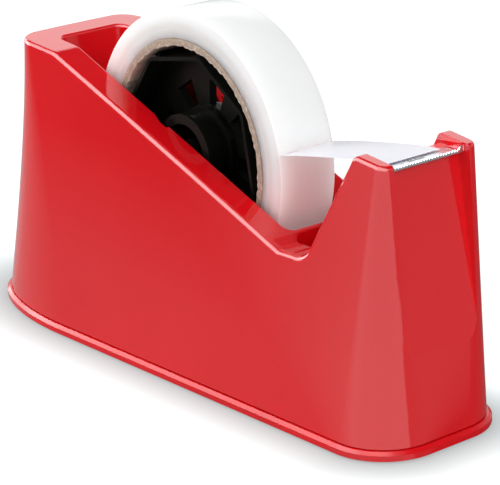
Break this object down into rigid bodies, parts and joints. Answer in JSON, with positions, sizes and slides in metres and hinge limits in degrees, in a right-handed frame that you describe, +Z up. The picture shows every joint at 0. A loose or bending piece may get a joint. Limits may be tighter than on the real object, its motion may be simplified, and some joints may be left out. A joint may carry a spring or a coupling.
{
  "type": "weighted tape dispenser",
  "caption": "Weighted desk tape dispenser: tapered moulded body with a sloping top, a roll on a lift-out axle hub in an open well, and a toothed cutter on a front tower.",
  "frame": {"origin": "middle of the base, on the surface that the dispenser stands on", "axes": "+X towards the cutter, +Y to the left of a user who faces the cutter's way, +Z up"},
  "size_m": [0.2415, 0.064, 0.1301],
  "materials": {
    "red_gloss": "high-gloss moulded red",
    "pad_foam": "matt foam rubber",
    "cast_iron": "rough cast",
    "zinc_steel": "bright zinc plate",
    "blade_steel": "bright rolled strip",
    "axle_steel": "drawn rod",
    "black_plastic": "semi-gloss moulded black",
    "cardboard": "raw wound board",
    "tape_film": "wound translucent film",
    "tape_strip": "single translucent film"
  },
  "bodies": {
    "stand": {"housing": "red_gloss", "base_plate": "red_gloss", "non_slip_pad": "pad_foam", "base_screws": "zinc_steel", "floor_weight": "cast_iron", "tower_weight": "cast_iron", "cutter_blade": "blade_steel"},
    "axle_set": {"axle": "axle_steel", "tape_strip": "tape_strip"},
    "roll": {"small_core_spool": "black_plastic", "retaining_collars": "black_plastic", "wheel_half_left": "black_plastic", "wheel_half_right": "black_plastic", "cardboard_core": "cardboard", "tape_roll": "tape_film"}
  },
  "joints": [
    {"name": "roll_lift", "type": "slide", "parent": "stand", "child": "axle_set", "axis": [-0.7071, 0, 0.7071], "range_m": [0, 0.026]},
    {"name": "roll_spin", "type": "hinge", "parent": "axle_set", "child": "roll", "pos_m": [0.001, 0, 0.0792], "axis": [0, 1, 0], "continuous": true}
  ]
}
